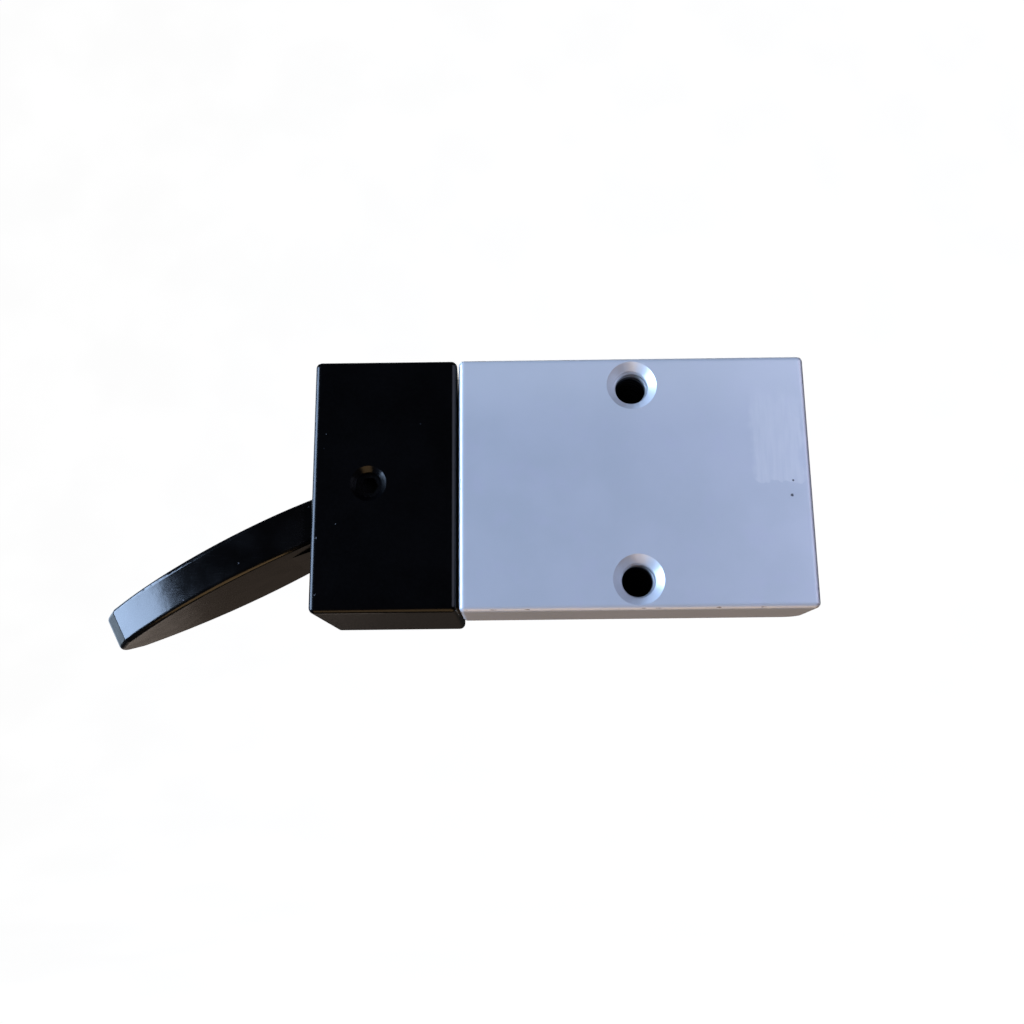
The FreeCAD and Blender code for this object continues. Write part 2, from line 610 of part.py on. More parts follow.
def leaf_sketch(body, sheet, evaluate):
    """The paddle's outline: two long arcs and a blunt tip of two facets."""
    sketch = new_sketch(body, "leaf_outline", "XY_Plane")
    nose, radius = value(sheet, "nose_radius"), value(sheet, "leaf_radius")
    root, corner = ("-root_reach", "root_half"), ("-corner_reach", "corner_half")
    start, end = (FreeCAD.Vector(evaluate(a), evaluate(b), 0) for a, b in (root, corner))
    facet = math.atan2(value(sheet, "apex_reach") + end.x, end.y)
    nose_centre = nose / math.cos(facet) - value(sheet, "apex_reach")
    touch = FreeCAD.Vector(nose_centre - nose * math.cos(facet), nose * math.sin(facet), 0)
    tip = FreeCAD.Vector(nose_centre - nose, 0, 0)
    start_low, end_low, touch_low = (FreeCAD.Vector(p.x, -p.y, 0) for p in (start, end, touch))
    outline = [bulging_arc(start, end, radius), Part.LineSegment(end, touch), Part.Arc(touch, tip, touch_low),
               Part.LineSegment(touch_low, end_low), bulging_arc(start_low, end_low, radius),
               Part.LineSegment(start_low, start)]
    sketch.addGeometry(outline, False)
    join_ends(sketch)
    for arc, size in ((0, "leaf_radius"), (2, "nose_radius"), (4, "leaf_radius")):
        index = sketch.addConstraint(Sketcher.Constraint("Radius", arc, value(sheet, size)))
        sketch.setExpression(f"Constraints[{index}]", in_sheet(size))
    fix_point(sketch, 5, 2, *root)
    fix_point(sketch, 1, 1, *corner)
    fix_point(sketch, 3, 2, corner[0], "-" + corner[1])
    fix_point(sketch, 5, 1, root[0], "-" + root[1])
    doc.recompute()
    return sketch


def bulging_arc(start, end, radius):
    """A shallow arc from start to end that bulges away from the x axis."""
    chord = end.sub(start)
    middle = start.add(chord.multiply(0.5))
    outward = FreeCAD.Vector(-chord.y, chord.x, 0).normalize()
    if outward.y * middle.y < 0:
        outward = outward.negative()
    half_chord = start.distanceToPoint(middle)
    rise = radius - math.sqrt(radius ** 2 - half_chord ** 2)
    return Part.Arc(start, middle.add(outward.multiply(rise)), end)


def join_ends(sketch):
    """Make coincident every pair of ends that lie on the same point."""
    ends = [(n, point) for n in range(len(sketch.Geometry)) for point in (1, 2)]
    for index, first in enumerate(ends):
        for second in ends[index + 1:]:
            if first[0] != second[0] and \
                    sketch.getPoint(*first).distanceToPoint(sketch.getPoint(*second)) < 1e-6:
                sketch.addConstraint(Sketcher.Constraint("Coincident", *first, *second))


def hub_bushes():
    """Two flangeless bronze bushes pressed into the lever's hub."""
    bore = "pin_radius + bush_bore_clear"
    outer = f"{bore} + bush_wall"
    front = tube("front_hub_bush", outer, bore, ("pivot_x", "-neck_half", "0"), "bush_length")
    rear = tube("rear_hub_bush", outer, bore, ("pivot_x", "neck_half - bush_length", "0"), "bush_length")
    return [front, rear]


def drive_pin():
    return cylinder(None, "Cylinder", "drive_pin", "drive_radius",
                    ("drive_x", "-bolt_front + drive_inset", "-drive_drop"),
                    "bolt_front - drive_inset + arm_half")


# ---------------------------------------------------------------- the bolt and its spring

def latch_bolt(sheet):
    """Bevelled bolt with a slot for the drive pin and a lug for the spring."""
    body = new_body("latch_bolt")
    tail = "drive_x - slot_half - tail_wall"
    box(body, "AdditiveBox", "bolt_bar", (tail, "bolt_tip"), ("-bolt_front", "-bolt_back"),
        ("-bolt_bottom", "-bolt_top"))
    box(body, "AdditiveBox", "spring_lug", ("lug_left", "lug_left + lug_length"),
        ("-bolt_back - overcut", "lug_back"), ("-spring_drop - lug_half", "-spring_drop + lug_half"))
    box(body, "SubtractiveBox", "drive_slot", ("drive_x - slot_half", "drive_x + slot_half"),
        ("-bolt_front - overcut", "-bolt_back + overcut"),
        ("-arm_length - drive_radius - drive_inset", "-drive_drop + drive_radius + drive_inset"))
    bar = body.Tip
    tip, back = value(sheet, "bolt_tip"), -value(sheet, "bolt_back")

    def at_nose(edge):
        box_of = edge.BoundBox
        upright = box_of.XLength < NEAR and box_of.YLength < NEAR
        return upright and abs(box_of.XMax - tip) < NEAR and abs(box_of.YMax - back) < NEAR
    dress(body, "Chamfer", "nose_bevel", bar, edges_where(bar, at_nose), "Size", "bolt_bevel")
    return body


def spring_cup():
    """Nylon cup that centres the spring on the bolt's lug."""
    middle = ("spring_y", "-spring_drop")
    flange = cylinder(None, "Cylinder", "cup_flange", "spring_radius + wire_radius",
                      ("lug_left - cup_thickness", *middle), "cup_thickness", ALONG_X)
    spigot = cylinder(None, "Cylinder", "cup_spigot_stock", "spring_radius - 2 * wire_radius",
                      ("lug_left - cup_thickness - cup_spigot", *middle),
                      "cup_spigot + cup_thickness", ALONG_X)
    return boolean("Fuse", "spring_cup", flange, spigot)


def bolt_spring(sheet):
    """Compression spring between the left wall and the spring cup."""
    start = "case_left + wall + wire_radius"
    helix = doc.addObject("Part::Helix", "spring_path")
    bind(helix, Pitch="spring_pitch", Radius="spring_radius",
         Height="lug_left - cup_thickness - wire_radius - case_left - wall - wire_radius")
    wire = doc.addObject("Part::Circle", "spring_wire")
    wire.Placement = FreeCAD.Placement(FreeCAD.Vector(), FreeCAD.Rotation(FreeCAD.Vector(1, 0, 0), 90))
    bind(wire, Radius="wire_radius", Placement__Base__x="spring_radius")
    spring = doc.addObject("Part::Sweep", "bolt_spring")
    doc.recompute()
    spring.Sections = [wire]
    spring.Spine = (helix, [f"Edge{n + 1}" for n in range(len(helix.Shape.Edges))])
    spring.Solid = True
    spring.Frenet = True
    place(spring, (start, "spring_y", "-spring_drop"), ALONG_X)
    return spring


# ---------------------------------------------------------------- checks and export

def check_document():
    bad = [item.Label for item in doc.Objects if "Invalid" in item.State or "Error" in item.State]
    if bad:
        raise RuntimeError(f"failed objects: {bad}")


def export(pieces):
    os.makedirs("parts", exist_ok=True)
    for piece in pieces:
        shape = piece.Shape
        if shape.isNull() or not shape.isValid() or shape.Volume <= 0:
            raise RuntimeError(f"{piece.Label} has no valid shape")
        shape.exportStep(f"parts/{piece.Label}.step")
        print(f"{piece.Label:22s} {shape.Volume:10.1f} mm3  solids {len(shape.Solids)}")


def main():
    sheet = add_sheet()
    evaluate = evaluator(sheet)
    pieces = [keeper_block(sheet, evaluate), mortise_liner(), case_body(sheet, evaluate), back_cover(),
              cover_screws(), bolt_window_liner(), slide_strip(), bolt_stop_pad(), *pivot_pieces(sheet),
              spring_guide_rod(),
              lever(sheet, evaluate), *hub_bushes(), drive_pin(), latch_bolt(sheet), spring_cup(),
              bolt_spring(sheet)]
    doc.recompute()
    check_document()
    export(pieces)


main()
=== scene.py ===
import json
import math

import bmesh
import bpy
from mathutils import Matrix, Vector

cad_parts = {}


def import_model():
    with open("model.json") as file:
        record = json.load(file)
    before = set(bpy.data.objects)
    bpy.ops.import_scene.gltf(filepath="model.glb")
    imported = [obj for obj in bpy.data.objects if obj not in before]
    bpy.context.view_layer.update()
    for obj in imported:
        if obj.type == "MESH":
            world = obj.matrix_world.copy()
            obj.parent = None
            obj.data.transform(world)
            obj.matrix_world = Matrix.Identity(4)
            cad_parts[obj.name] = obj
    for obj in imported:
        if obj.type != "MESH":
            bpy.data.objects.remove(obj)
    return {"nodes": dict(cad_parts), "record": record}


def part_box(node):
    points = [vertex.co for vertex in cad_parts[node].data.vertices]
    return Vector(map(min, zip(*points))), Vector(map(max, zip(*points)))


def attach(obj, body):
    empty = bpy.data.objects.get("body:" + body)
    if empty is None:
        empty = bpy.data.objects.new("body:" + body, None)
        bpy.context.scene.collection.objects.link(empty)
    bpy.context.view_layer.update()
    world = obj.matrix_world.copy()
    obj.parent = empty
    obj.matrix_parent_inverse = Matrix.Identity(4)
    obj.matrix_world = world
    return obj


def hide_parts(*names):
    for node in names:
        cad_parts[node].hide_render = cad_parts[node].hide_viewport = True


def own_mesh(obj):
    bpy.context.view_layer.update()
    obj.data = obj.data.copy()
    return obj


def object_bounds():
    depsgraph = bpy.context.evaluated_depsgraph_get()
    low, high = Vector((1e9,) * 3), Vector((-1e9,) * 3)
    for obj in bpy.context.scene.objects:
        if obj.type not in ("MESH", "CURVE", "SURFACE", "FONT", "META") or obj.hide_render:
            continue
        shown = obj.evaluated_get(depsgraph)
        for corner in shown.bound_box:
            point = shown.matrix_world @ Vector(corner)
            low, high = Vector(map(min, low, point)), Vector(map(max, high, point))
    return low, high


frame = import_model()
CAD_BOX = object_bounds()

MM = 0.001

# Places read from the frame.
KEEPER_LOW, KEEPER_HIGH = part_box("keeper_block")
CASE_LOW, CASE_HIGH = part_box("case_body")
GRUB_LOW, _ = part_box("pivot_grub_screw")
SPRING_LOW, SPRING_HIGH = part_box("bolt_spring")
MOUNTS = {mount["name"]: mount for mount in frame["record"]["mounts"]}
JOINTS = {joint["name"]: joint for joint in frame["record"]["behaviour"]["joints"]}
PIVOT = Vector(JOINTS["lever_turn"]["pos_m"])
HOLE_RADIUS = MOUNTS["keeper_bolts"]["dims"]["hole_r_mm"] * MM
HOLE_RISE = MOUNTS["keeper_bolts"]["dims"]["spacing_y_mm"] * MM / 2
KEEPER_HOLES = {"upper_m8_thread": HOLE_RISE, "lower_m8_thread": -HOLE_RISE}

# Sizes of the details that scene.py adds.
M8_PITCH, M8_RIDGE = 1.25 * MM, 0.42 * MM
M8_START, M8_END = 1.35 * MM, 12.5 * MM      # from the keeper's front face
HOLE_FLOOR = 14.6 * MM                       # just past the drill point
M6_RADIUS, M6_PITCH, M6_RIDGE = 2.5 * MM, 0.8 * MM, 0.3 * MM
M6_START, M6_GAP = 0.9 * MM, 0.02 * MM       # from the case's front face, and before the grub screw
ROOT_SINK = 0.35 * MM                        # how far a ridge is sunk into its bore
SHADE_MARGIN = 0.3 * MM                      # paint shading reaches this far outside a bore


# ------------------------------------------------------------------ node helpers

class Tree:
    """Short calls for building one material's nodes in code."""

    def __init__(self, name):
        self.material = bpy.data.materials.new(name)
        self.material.use_nodes = True
        self.tree = self.material.node_tree
        self.tree.nodes.clear()
        output = self.tree.nodes.new("ShaderNodeOutputMaterial")
        self.shader = self.tree.nodes.new("ShaderNodeBsdfPrincipled")
        self.link(self.shader.outputs[0], output.inputs["Surface"])
        self.place = self.node("ShaderNodeTexCoord").outputs["Object"]

    def node(self, kind, **settings):
        made = self.tree.nodes.new(kind)
        for name, value in settings.items():
            setattr(made, name, value)
        return made

    def link(self, source, target):
        self.tree.links.new(source, target)

    def feed(self, target, value):
        """Link a socket, or set a plain number or colour."""
        if isinstance(value, bpy.types.NodeSocket):
            self.link(value, target)
        else:
            target.default_value = value

    def math(self, operation, *values, clamp=False):
        made = self.node("ShaderNodeMath", operation=operation, use_clamp=clamp)
        for socket, value in zip(made.inputs, values):
            self.feed(socket, value)
        return made.outputs[0]

    def noise(self, size, detail=3.0, roughness=0.5, stretch=(1, 1, 1), offset=(0, 0, 0)):
        """Noise whose features are about size metres across; stretch lengthens them along an axis."""
        mapping = self.node("ShaderNodeMapping")
        self.link(self.place, mapping.inputs["Vector"])
        mapping.inputs["Location"].default_value = offset
        mapping.inputs["Scale"].default_value = [1 / factor for factor in stretch]
        made = self.node("ShaderNodeTexNoise")
        self.link(mapping.outputs[0], made.inputs["Vector"])
        made.inputs["Scale"].default_value = 1 / size
        made.inputs["Detail"].default_value = detail
        made.inputs["Roughness"].default_value = roughness
        return made.outputs["Fac"]

    def spots(self, size, offset=(0, 0, 0)):
        """Distance to scattered points about size metres apart, in units of that spacing."""
        mapping = self.node("ShaderNodeMapping")
        self.link(self.place, mapping.inputs["Vector"])
        mapping.inputs["Location"].default_value = offset
        made = self.node("ShaderNodeTexVoronoi")
        self.link(mapping.outputs[0], made.inputs["Vector"])
        made.inputs["Scale"].default_value = 1 / size
        return made.outputs["Distance"]

    def ramp(self, value, low, high, start=0.0, end=1.0):
        """Value from low..high mapped smoothly onto start..end."""
        made = self.node("ShaderNodeMapRange", interpolation_type="SMOOTHSTEP")
        for name, given in (("Value", value), ("From Min", low), ("From Max", high),
                            ("To Min", start), ("To Max", end)):
            self.feed(made.inputs[name], given)
        return made.outputs["Result"]

    def mix(self, factor, first, second):
        made = self.node("ShaderNodeMix", data_type="RGBA")
        self.feed(made.inputs["Factor"], factor)
        self.feed(made.inputs[6], rgba(first))
        self.feed(made.inputs[7], rgba(second))
        return made.outputs[2]

    def axis(self, name):
        separate = self.node("ShaderNodeSeparateXYZ")
        self.link(self.place, separate.inputs[0])
        return separate.outputs[name]

    def edge_distance(self, low, high):
        """Distance in metres from the nearest edge of a box, seen from its surface."""
        depths = []
        for name, a, b in zip("XYZ", low, high):
            away = self.math("ABSOLUTE", self.math("SUBTRACT", self.axis(name), (a + b) / 2))
            depths.append(self.math("SUBTRACT", (b - a) / 2, away))
        small = self.math("MINIMUM", depths[0], depths[1])
        large = self.math("MAXIMUM", depths[0], depths[1])
        return self.math("MAXIMUM", small, self.math("MINIMUM", large, depths[2]))

    def marks(self, places):
        """0 to 1 over small ragged spots at given (x, z, radius), in metres."""
        ragged = self.noise(0.35 * MM, detail=3)
        total = 0.0
        for x, z, radius in places:
            away = self.math("ADD", self.from_axis(x, z), self.math("MULTIPLY", ragged, radius))
            total = self.math("MAXIMUM", total, self.ramp(away, 1.5 * radius, 1.1 * radius))
        return total

    def from_axis(self, x, z):
        """Distance in metres from a line along Y through (x, z)."""
        across = self.math("SUBTRACT", self.axis("X"), x)
        up = self.math("SUBTRACT", self.axis("Z"), z)
        squares = self.math("ADD", self.math("MULTIPLY", across, across), self.math("MULTIPLY", up, up))
        return self.math("SQRT", squares)

    def down_hole(self, x, z, radius, start, end, floor):
        """Mask for painted shade: 0 to 1 with depth inside a hole along Y, and 0 again past its floor.
        """
        inside = self.ramp(self.from_axis(x, z), radius + 2 * SHADE_MARGIN, radius + SHADE_MARGIN)
        inside = self.math("MULTIPLY", inside, self.ramp(self.axis("Y"), floor + 0.4 * MM, floor))
        return self.math("MULTIPLY", inside, self.ramp(self.axis("Y"), start, end))

    def bump(self, layers):
        """Chain of (height, metres) bump layers onto the shader's normal."""
        normal = None
        for height, distance in layers:
            made = self.node("ShaderNodeBump")
            made.inputs["Strength"].default_value = 1.0
            made.inputs["Distance"].default_value = distance
            self.feed(made.inputs["Height"], height)
            if normal is not None:
                self.link(normal, made.inputs["Normal"])
            normal = made.outputs[0]
        self.link(normal, self.shader.inputs["Normal"])

    def set(self, **values):
        for name, value in values.items():
            self.feed(self.shader.inputs[name.replace("_", " ")], value)


def rgba(colour):
    return colour if isinstance(colour, bpy.types.NodeSocket) else (*colour, 1.0)


# ------------------------------------------------------------------ materials

# Small marks seen on the painted faces: (x, z, radius).
KEEPER_CHIPS = [(29.9 * MM, -3.3 * MM, 0.34 * MM), (30.3 * MM, -0.4 * MM, 0.26 * MM)]
CASE_CHIPS = [(-61.2 * MM, -10.6 * MM, 0.22 * MM), (-61.1 * MM, -21.5 * MM, 0.18 * MM),
              (-59.8 * MM, 10.0 * MM, 0.12 * MM), (-57.5 * MM, -7.9 * MM, 0.14 * MM)]
LEVER_SPECKS = [(-76.6 * MM, -14.7 * MM, 0.18 * MM), (-63.9 * MM, -3.2 * MM, 0.15 * MM),
                (-87.4 * MM, -21.5 * MM, 0.16 * MM)]


def silver_coat():
    """Satin silver-grey powder coat: orange peel, fine grain, a rubbed patch, tiny chips, painted light
    towards the top and painted shade along two edges and down the holes.
    """
    t = Tree("silver_coat")
    cloud = t.noise(14 * MM, detail=3)
    grain = t.noise(0.16 * MM, detail=2)
    peel = t.noise(0.8 * MM, detail=2)
    tint = t.noise(6 * MM, detail=3, offset=(0.5, 0.2, 0.9))
    colour = t.mix(t.ramp(cloud, 0.3, 0.7), (0.66, 0.70, 0.75), (0.71, 0.74, 0.80))
    colour = t.mix(t.ramp(tint, 0.5, 0.75, 0.0, 0.35), colour, (0.71, 0.71, 0.82))
    colour = t.mix(t.math("MULTIPLY", t.ramp(grain, 0.35, 0.75), 0.2), colour, (0.78, 0.81, 0.86))
    patch = rubbed_patch(t)
    colour = t.mix(t.math("MULTIPLY", patch, 0.50), colour, (0.94, 0.95, 0.96))
    # Painted light: the coat is coloured paler towards the top, as if lit more from above.
    painted_top_light = t.ramp(t.axis("Z"), 8 * MM, 24 * MM)
    colour = t.mix(t.math("MULTIPLY", painted_top_light, 0.55), colour, (0.90, 0.92, 0.94))
    chip = t.math("MAXIMUM", edge_chips(t, KEEPER_LOW, KEEPER_HIGH, 0.30 * MM), t.marks(KEEPER_CHIPS))
    colour = t.mix(chip, colour, (0.10, 0.10, 0.12))
    # Painted shade: the coat turns almost black down inside the keeper's two holes and over their thread
    # turns.
    for height in KEEPER_HOLES.values():
        bore = t.down_hole(0.0, height, HOLE_RADIUS, KEEPER_LOW.y + 1.3 * MM, KEEPER_LOW.y + 5.5 * MM,
                           KEEPER_LOW.y + HOLE_FLOOR)
        colour = t.mix(bore, colour, (0.004, 0.004, 0.005))
    # Painted shade: a dark line along the keeper's top and right front edges.
    edge_shade = painted_edge_shade(t)
    colour = t.mix(edge_shade, colour, (0.05, 0.045, 0.045))
    roughness = t.ramp(peel, 0.2, 0.8, 0.34, 0.42)
    t.set(Base_Color=colour, Roughness=t.math("SUBTRACT", roughness, t.math("MULTIPLY", patch, 0.06)),
          Metallic=0.25, Specular_IOR_Level=0.5)
    t.bump([(peel, 0.007 * MM), (grain, 0.0025 * MM), (chip, -0.03 * MM)])
    return t.material


def painted_edge_shade(t):
    """Painted shade: a dark line along the keeper's top and right front edges, standing in for the dark
    the rounded edges reflect.
    """
    top = t.ramp(t.axis("Z"), KEEPER_HIGH.z - 0.45 * MM, KEEPER_HIGH.z - 0.20 * MM)
    right = t.ramp(t.axis("X"), KEEPER_HIGH.x - 0.40 * MM, KEEPER_HIGH.x - 0.15 * MM)
    front = t.ramp(t.axis("Y"), KEEPER_LOW.y + 1.6 * MM, KEEPER_LOW.y + 1.1 * MM)
    patchy = t.ramp(t.noise(4 * MM, detail=3), 0.25, 0.6, 0.6, 0.9)
    return t.math("MULTIPLY", t.math("MULTIPLY", t.math("MAXIMUM", top, right), front), patchy)


def rubbed_patch(t):
    """Pale brushed smear near the right end of the front face, with a wavy lower edge."""
    wave = t.noise(3.6 * MM, detail=2)
    streak = t.noise(0.8 * MM, detail=3, stretch=(1, 1, 9))
    ripple = t.math("MULTIPLY", t.math("SUBTRACT", wave, 0.5), 6 * MM)
    across = t.math("ADD", t.axis("X"), t.math("MULTIPLY", ripple, 0.4))
    up = t.math("ADD", t.axis("Z"), ripple)
    right = KEEPER_HIGH.x - 0.8 * MM
    inside = t.math("MULTIPLY", t.ramp(across, right - 11 * MM, right - 9.6 * MM),
                    t.ramp(across, right, right - 1.4 * MM))
    inside = t.math("MULTIPLY", inside, t.ramp(up, -0.9 * MM, -0.4 * MM))
    inside = t.math("MULTIPLY", inside, t.ramp(up, 20 * MM, 13 * MM))
    front = t.ramp(t.axis("Y"), KEEPER_LOW.y + 1.2 * MM, KEEPER_LOW.y + 0.4 * MM)
    return t.math("MULTIPLY", t.math("MULTIPLY", inside, front), t.ramp(streak, 0.25, 0.7, 0.5, 1.0))


def edge_chips(t, low, high, reach):
    """Sparse small chips where the coat is thin along the edges."""
    waver = t.math("MULTIPLY", t.noise(0.5 * MM, detail=4), -0.3 * MM)
    ragged = t.math("ADD", t.edge_distance(low, high), waver)
    near = t.ramp(ragged, reach, reach * 0.4)
    sparse = t.ramp(t.noise(2.6 * MM, detail=2, offset=(0.3, 0.1, 0.7)), 0.63, 0.68)
    return t.math("MULTIPLY", near, sparse)


def black_coat():
    """Satin black powder coat with fine orange peel, a few rubbed edges and painted shade down the pivot
    hole.
    """
    t = Tree("black_coat")
    cloud = t.noise(11 * MM, detail=3)
    peel = t.noise(0.6 * MM, detail=3)
    grain = t.noise(0.14 * MM, detail=2)
    colour = t.mix(t.ramp(cloud, 0.3, 0.7), (0.0007, 0.0007, 0.0010), (0.0016, 0.0016, 0.0020))
    chip = t.math("MAXIMUM", edge_chips(t, CASE_LOW, CASE_HIGH, 0.35 * MM), t.marks(CASE_CHIPS))
    colour = t.mix(chip, colour, (0.05, 0.052, 0.056))
    dust = t.ramp(t.spots(6 * MM), 0.030, 0.018)
    colour = t.mix(t.math("MULTIPLY", dust, 0.12), colour, (0.10, 0.11, 0.13))
    # Painted shade: the coat turns blacker down inside the pivot hole, in front of the grub screw.
    bore = t.down_hole(PIVOT.x, PIVOT.z, M6_RADIUS, CASE_LOW.y + 1.0 * MM, CASE_LOW.y + 2.6 * MM,
                       GRUB_LOW.y)
    colour = t.mix(bore, colour, (0.0006, 0.0006, 0.0008))
    t.set(Base_Color=colour, Roughness=t.ramp(peel, 0.2, 0.8, 0.20, 0.26), Specular_IOR_Level=0.28)
    t.bump([(peel, 0.004 * MM), (grain, 0.0015 * MM), (chip, -0.04 * MM)])
    return t.material


def lever_gloss():
    """Semi-gloss black enamel with a slightly wavy surface and light handling marks."""
    t = Tree("lever_gloss")
    sag = t.noise(3.2 * MM, detail=2)
    peel = t.noise(0.7 * MM, detail=2)
    wear = t.noise(6 * MM, detail=4, offset=(0.2, 0.5, 0.1))
    scratch = t.noise(0.25 * MM, detail=3, stretch=(12, 12, 1))
    colour = t.mix(t.ramp(wear, 0.35, 0.7), (0.0008, 0.0008, 0.0011), (0.0020, 0.0020, 0.0025))
    speck = t.marks(LEVER_SPECKS)
    colour = t.mix(speck, colour, (0.09, 0.09, 0.10))
    roughness = t.math("ADD", t.ramp(wear, 0.3, 0.7, 0.17, 0.26), t.ramp(scratch, 0.55, 0.8, 0.0, 0.08))
    t.set(Base_Color=colour, Roughness=roughness, Specular_IOR_Level=0.40, Coat_Weight=0.15,
          Coat_Roughness=0.18)
    t.bump([(sag, 0.040 * MM), (peel, 0.003 * MM)])
    return t.material


def metal(name, dark, light, roughness, stretch, grain=0.12 * MM):
    """Bare metal with turning or drawing marks along one axis."""
    t = Tree(name)
    marks = t.noise(grain, detail=4, roughness=0.6, stretch=stretch)
    stain = t.noise(2.5 * MM, detail=4)
    colour = t.mix(t.ramp(marks, 0.3, 0.7), dark, light)
    colour = t.mix(t.ramp(stain, 0.55, 0.8, 0.0, 0.35), colour, tuple(0.45 * c for c in dark))
    rough = t.math("ADD", t.ramp(marks, 0.2, 0.8, roughness - 0.06, roughness + 0.06),
                   t.ramp(stain, 0.5, 0.8, 0.0, 0.1))
    t.set(Base_Color=colour, Roughness=rough, Metallic=1.0)
    t.bump([(marks, 0.006 * MM), (stain, 0.01 * MM)])
    return t.material


def moulded(name, dark, light, roughness, translucent=0.0):
    """Moulded plastic or rubber with a faint cloudy colour and a fine matt skin."""
    t = Tree(name)
    cloud = t.noise(4 * MM, detail=3)
    skin = t.noise(0.1 * MM, detail=2)
    t.set(Base_Color=t.mix(t.ramp(cloud, 0.3, 0.7), dark, light),
          Roughness=t.ramp(skin, 0.2, 0.8, roughness - 0.07, roughness + 0.07),
          Subsurface_Weight=translucent, Subsurface_Scale=0.5 * MM)
    t.bump([(skin, 0.008 * MM), (cloud, 0.02 * MM)])
    return t.material


MATERIALS = {
    "silver_coat": silver_coat(),
    "black_coat": black_coat(),
    "lever_gloss": lever_gloss(),
    "bare_steel": metal("bare_steel", (0.42, 0.41, 0.39), (0.60, 0.59, 0.57), 0.32, (1, 10, 10)),
    "spring_steel": metal("spring_steel", (0.30, 0.30, 0.31), (0.48, 0.48, 0.50), 0.28, (6, 1, 1)),
    "black_oxide": metal("black_oxide", (0.010, 0.010, 0.011), (0.030, 0.030, 0.032), 0.42, (1, 1, 1)),
    "zinc_steel": metal("zinc_steel", (0.52, 0.53, 0.56), (0.68, 0.69, 0.72), 0.30, (1, 1, 1), 0.3 * MM),
    "bronze": metal("bronze", (0.42, 0.26, 0.12), (0.60, 0.40, 0.20), 0.40, (1, 8, 1), 0.15 * MM),
    "nylon": moulded("nylon", (0.62, 0.60, 0.53), (0.72, 0.70, 0.63), 0.50, 0.15),
    "black_rubber": moulded("black_rubber", (0.018, 0.018, 0.018), (0.03, 0.03, 0.03), 0.75),
}


def dress_frame():
    """Give every CAD node its slot's material."""
    slot_of = {part["node"]: part["material_slot"] for part in frame["record"]["subparts"]}
    for node, item in frame["nodes"].items():
        material = MATERIALS[slot_of[node]]
        if not item.data.materials:
            item.data.materials.append(material)
        for place in range(len(item.material_slots)):
            item.material_slots[place].material = material


# ------------------------------------------------------------------ pieces

def mesh_piece(name, points, faces, slot, body):
    """A smooth closed mesh that rides a body and takes a slot's material."""
    mesh = bpy.data.meshes.new(name)
    mesh.from_pydata([tuple(point) for point in points], [], faces)
    built = bmesh.new()
    built.from_mesh(mesh)
    bmesh.ops.recalc_face_normals(built, faces=built.faces)
    built.to_mesh(mesh)
    built.free()
    mesh.validate()
    piece = bpy.data.objects.new(name, mesh)
    bpy.context.scene.collection.objects.link(piece)
    mesh.materials.append(MATERIALS[slot])
    for face in mesh.polygons:
        face.use_smooth = True
    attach(piece, body)
    return piece


def skin(rings):
    """Points and faces of a tube through equal rings of points, with both ends closed."""
    size = len(rings[0])
    points = [point for ring in rings for point in ring]
    faces = []
    for first in range(0, len(points) - size, size):
        for n in range(size):
            m = (n + 1) % size
            faces.append((first + n, first + m, first + size + m, first + size + n))
    faces.append(tuple(reversed(range(size))))
    faces.append(tuple(range(len(points) - size, len(points))))
    return points, faces


def internal_thread(name, centre, radius, start, end, pitch, height, slot, body):
    """A helical ridge standing in from a bore along Y, fading out at both ends."""
    steps_a_turn, fade_turns, least_rise = 56, 0.35, 0.02 * MM
    turns = (end - start - pitch) / pitch
    steps = int(turns * steps_a_turn)
    rings = []
    for index in range(steps + 1):
        turn = turns * index / steps
        angle = turn * math.tau
        along = start + pitch / 2 + turn * pitch
        rise = max(height * min(1.0, turn / fade_turns, (turns - turn) / fade_turns), least_rise)
        flank = 0.92 * rise
        profile = ((ROOT_SINK, -0.48), (-flank, -0.10), (-rise, 0.0), (-flank, 0.10), (ROOT_SINK, 0.48))
        rings.append([Vector((centre.x + (radius + out) * math.cos(angle), along + shift * pitch,
                              centre.z + (radius + out) * math.sin(angle))) for out, shift in profile])
    points, faces = skin(rings)
    return mesh_piece(name, points, faces, slot, body)


def threads():
    """Thread turns in the keeper's two holes and in front of the grub screw."""
    front = KEEPER_LOW.y
    for name, height in KEEPER_HOLES.items():
        internal_thread(name, Vector((0, 0, height)), HOLE_RADIUS, front + M8_START, front + M8_END,
                        M8_PITCH, M8_RIDGE, "silver_coat", "keeper")
    internal_thread("pivot_m6_thread", PIVOT, M6_RADIUS, CASE_LOW.y + M6_START, GRUB_LOW.y - M6_GAP,
                    M6_PITCH, M6_RIDGE, "black_coat", "latch_case")


